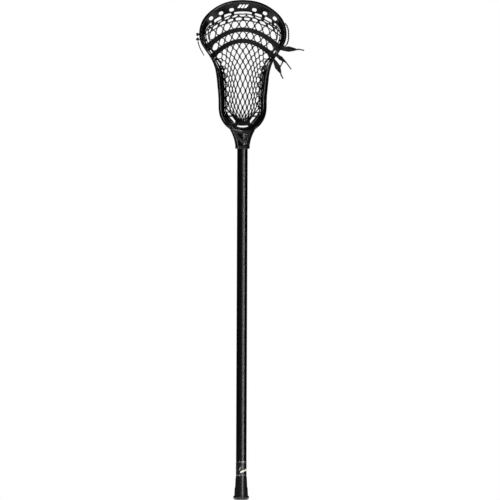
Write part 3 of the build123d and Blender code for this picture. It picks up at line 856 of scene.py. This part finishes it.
def tail(place):
    """Loose end of a shooting lace: a flat leaf that narrows into its crimped tip."""
    root = Vector(joint_place(f"tail_{place}")) / MM
    tip_points = [v.co / MM for v in frame["nodes"][f"aglet_{place}"].data.vertices]
    mouth = min(tip_points, key=lambda p: (p - root).length)
    mouth = Vector((mouth.x, root.y, mouth.z))
    far = max(tip_points, key=lambda p: (p - root).length)
    inside = lerp(mouth, Vector((far.x, root.y, far.z)), 0.3)
    width = TAIL_WIDTHS[place]
    profile = [(0.0, 3.4), (0.25, width * 0.8), (0.5, width)]
    profile += [(0.75, width * 0.62), (0.9, 2.4), (1.0, 1.9)]
    ahead = (mouth - root).normalized()
    start = root - ahead * 5.0
    bow = Vector((0, 1.0, 0))
    points = [start, root, lerp(root, mouth, 0.35) + bow, lerp(root, mouth, 0.7) - bow * 0.6]
    points += [mouth, inside]

    def leaf_width(share):
        return look_up(profile, share)

    def leaf_twist(share):
        return 0.35 * math.sin(TAU * share)

    weave = Weave()
    wide = Vector((0, 1, 0)).cross(ahead)
    flat = Flat(leaf_width, wide, thickness=1.3, twist=leaf_twist)
    weave.sweep(smooth_path(points, 0.8), flat)
    return weave


def thin_tail():
    """Loose cord end under the left knots."""
    low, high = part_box("left_tail")
    top = Vector(joint_place("left_tail")) / MM
    foot = Vector((high.x / MM - 1.0, top.y, low.z / MM + 1.0))
    middle = lerp(top, foot, 0.45) + Vector((-1.1, 0, -0.6))
    weave = Weave()
    weave.sweep(smooth_path([top, middle, foot], 0.7), Round(CORD * 1.1, taper=0.25))
    return weave


def foam_pad():
    """The ball stop's foam, remeshed from its CAD solid with softened edges and an uneven skin."""
    source = frame["nodes"]["ball_stop_pad"]
    piece = bpy.data.objects.new("ball_stop_foam", source.data.copy())
    bpy.context.scene.collection.objects.link(piece)
    remesh = piece.modifiers.new("cells", "REMESH")
    remesh.mode = "VOXEL"
    remesh.voxel_size = 0.55 * MM
    remesh.use_smooth_shade = True
    soft = piece.modifiers.new("soft", "SMOOTH")
    soft.factor = 0.5
    soft.iterations = 6
    graph = bpy.context.evaluated_depsgraph_get()
    mesh = bpy.data.meshes.new_from_object(piece.evaluated_get(graph))
    piece.modifiers.clear()
    piece.data = mesh
    for vertex in mesh.vertices:
        vertex.co += vertex.normal * noise.noise(vertex.co * 900) * 0.12 * MM
    return piece


# ---- dressing the CAD nodes and building the pieces ---------------------------------------
def dress(node, material):
    piece = frame["nodes"][node]
    piece.data.materials.clear()
    piece.data.materials.append(material)
    for polygon in piece.data.polygons:
        polygon.use_smooth = True


def dress_cad_nodes():
    """Gives each CAD node that stays visible its material."""
    dress("head_frame", head_plastic())
    dress("shaft", anodised_alloy())
    dress("end_cap", butt_rubber())
    dress("shaft_decal", decal_film())
    dress("head_screw", screw_steel())
    tips = aglet_plastic()
    for place in TAIL_WIDTHS:
        dress(f"aglet_{place}", tips)


def build_soft_pieces():
    """Builds every string, lace, net and foam piece in place of its plain CAD node."""
    string = cord_nylon("string_nylon", 1.6, 3, (0.0015, 0.0015, 0.0017), (0.008, 0.008, 0.0085))
    knit = cord_nylon("mesh_cord", 1.3, 2, (0.0012, 0.0012, 0.0014), (0.006, 0.006, 0.0065), rough=0.6)
    lace = cord_nylon("flat_lace", 1.5, 9, (0.0012, 0.0012, 0.0014), (0.008, 0.008, 0.009), rough=0.65)

    weave, legs = net()
    piece = weave.finish("net", knit)
    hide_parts("pocket_mesh")
    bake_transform(piece)
    for place, row_index in SHOOTER_ROWS.items():
        piece = shooting_lace(row_index).finish(f"shooting_lace_{place}", lace)
        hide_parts(f"shooting_string_{place}")
        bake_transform(piece)
    for node, weave in (
        ("left_sidewall_string", left_string(legs)),
        ("right_sidewall_string", right_string(legs)),
        ("top_string", top_string(legs)),
        ("bottom_string", bottom_string(legs)),
    ):
        piece = weave.finish(f"{node}_cord", string)
        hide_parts(node)
        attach(piece, "stick")
    piece = thin_tail().finish("left_tail_cord", string)
    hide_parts("left_tail")
    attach(piece, "left_tail")
    for place in TAIL_WIDTHS:
        piece = tail(place).finish(f"lace_leaf_{place}", lace)
        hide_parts(f"lace_tail_{place}")
        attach(piece, f"tail_{place}")
    pad = foam_pad()
    pad.data.materials.clear()
    pad.data.materials.append(foam_rubber())
    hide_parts("ball_stop_pad")
    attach(pad, "stick")


# ---- stage, light and camera --------------------------------------------------------------
def floor():
    """Plain pale disc, low enough for the pulled butt cap and bright as a studio sweep."""
    level = cad_box[0].z - FLOOR_DROP
    turns = [TAU * i / 24 for i in range(24)]
    ring = [(FLOOR_SIZE * math.cos(turn), FLOOR_SIZE * math.sin(turn), level) for turn in turns]
    mesh = bpy.data.meshes.new("floor")
    mesh.from_pydata(ring, [], [tuple(range(len(ring)))])
    look = Look("floor")
    colour = look.blend(look.grain(300.0), (0.86, 0.86, 0.86), (0.9, 0.9, 0.9))
    mesh.materials.append(look.finish(Base_Color=colour, Roughness=0.7,
                                      Emission_Color=(1, 1, 1), Emission_Strength=0.97))
    piece = bpy.data.objects.new("floor", mesh)
    bpy.context.scene.collection.objects.link(piece)


def softbox(name, place, target, size, power):
    """Rectangular area light that shines from a place to a target and isn't seen itself."""
    lamp = bpy.data.lights.new(name, "AREA")
    lamp.shape = "RECTANGLE"
    lamp.size, lamp.size_y = size
    lamp.energy = power
    item = bpy.data.objects.new(name, lamp)
    item.location = place
    item.rotation_euler = (Vector(target) - Vector(place)).to_track_quat("-Z", "Y").to_euler()
    item.visible_camera = False
    bpy.context.scene.collection.objects.link(item)


def lights():
    """A narrow strip for the lines along the tube and rims, and three soft lights; watts, metres."""
    top = cad_box[1].z
    half, head = top * 0.5, top * 0.85
    softbox("front_strip", (-0.36, -2.2, half), (0, 0, half), (0.05, 1.6), 13)
    softbox("key", (-1.2, -1.9, top + 0.5), (0, 0, head), (0.5, 0.5), 8)
    softbox("fill", (1.9, -1.3, top * 0.3), (0, 0, head), (0.7, 0.7), 1.0)
    softbox("back", (0.6, 2.2, top + 0.6), (0, 0, top * 0.6), (1.2, 1.2), 6)


def surroundings():
    """White behind the object for the camera, and a nearly dark room for its reflections."""
    white, room_light = (1, 1, 1, 1), 0.02
    world = bpy.data.worlds.new("studio")
    bpy.context.scene.world = world
    world.use_nodes = True
    tree = world.node_tree
    seen = tree.nodes["Background"]
    seen.inputs[0].default_value = white
    seen.inputs[1].default_value = 1.0
    lit = tree.nodes.new("ShaderNodeBackground")
    lit.inputs[0].default_value = white
    lit.inputs[1].default_value = room_light
    path = tree.nodes.new("ShaderNodeLightPath")
    mix = tree.nodes.new("ShaderNodeMixShader")
    tree.links.new(path.outputs["Is Camera Ray"], mix.inputs[0])
    tree.links.new(lit.outputs[0], mix.inputs[1])
    tree.links.new(seen.outputs[0], mix.inputs[2])
    tree.links.new(mix.outputs[0], tree.nodes["World Output"].inputs[0])
    bpy.context.scene.view_settings.view_transform = "Standard"


def camera():
    """Straight-on view with a long lens, exactly as tall as the stick, which leans a hair in it."""
    height = round(cad_box[1].z, 3)
    right = 0.0164  # the photo's middle lies this far to the right of the shaft's axis
    distance = height / 2 / math.tan(math.atan(SENSOR / 2 / LENS))
    data = bpy.data.cameras.new("camera")
    data.lens = LENS
    data.sensor_width = SENSOR
    item = bpy.data.objects.new("camera", data)
    item.location = (right, -distance, height / 2)
    item.rotation_euler = (math.pi / 2, math.radians(-LEAN), 0)
    bpy.context.scene.collection.objects.link(item)
    bpy.context.scene.camera = item


dress_cad_nodes()
build_soft_pieces()
floor()
lights()
surroundings()
camera()
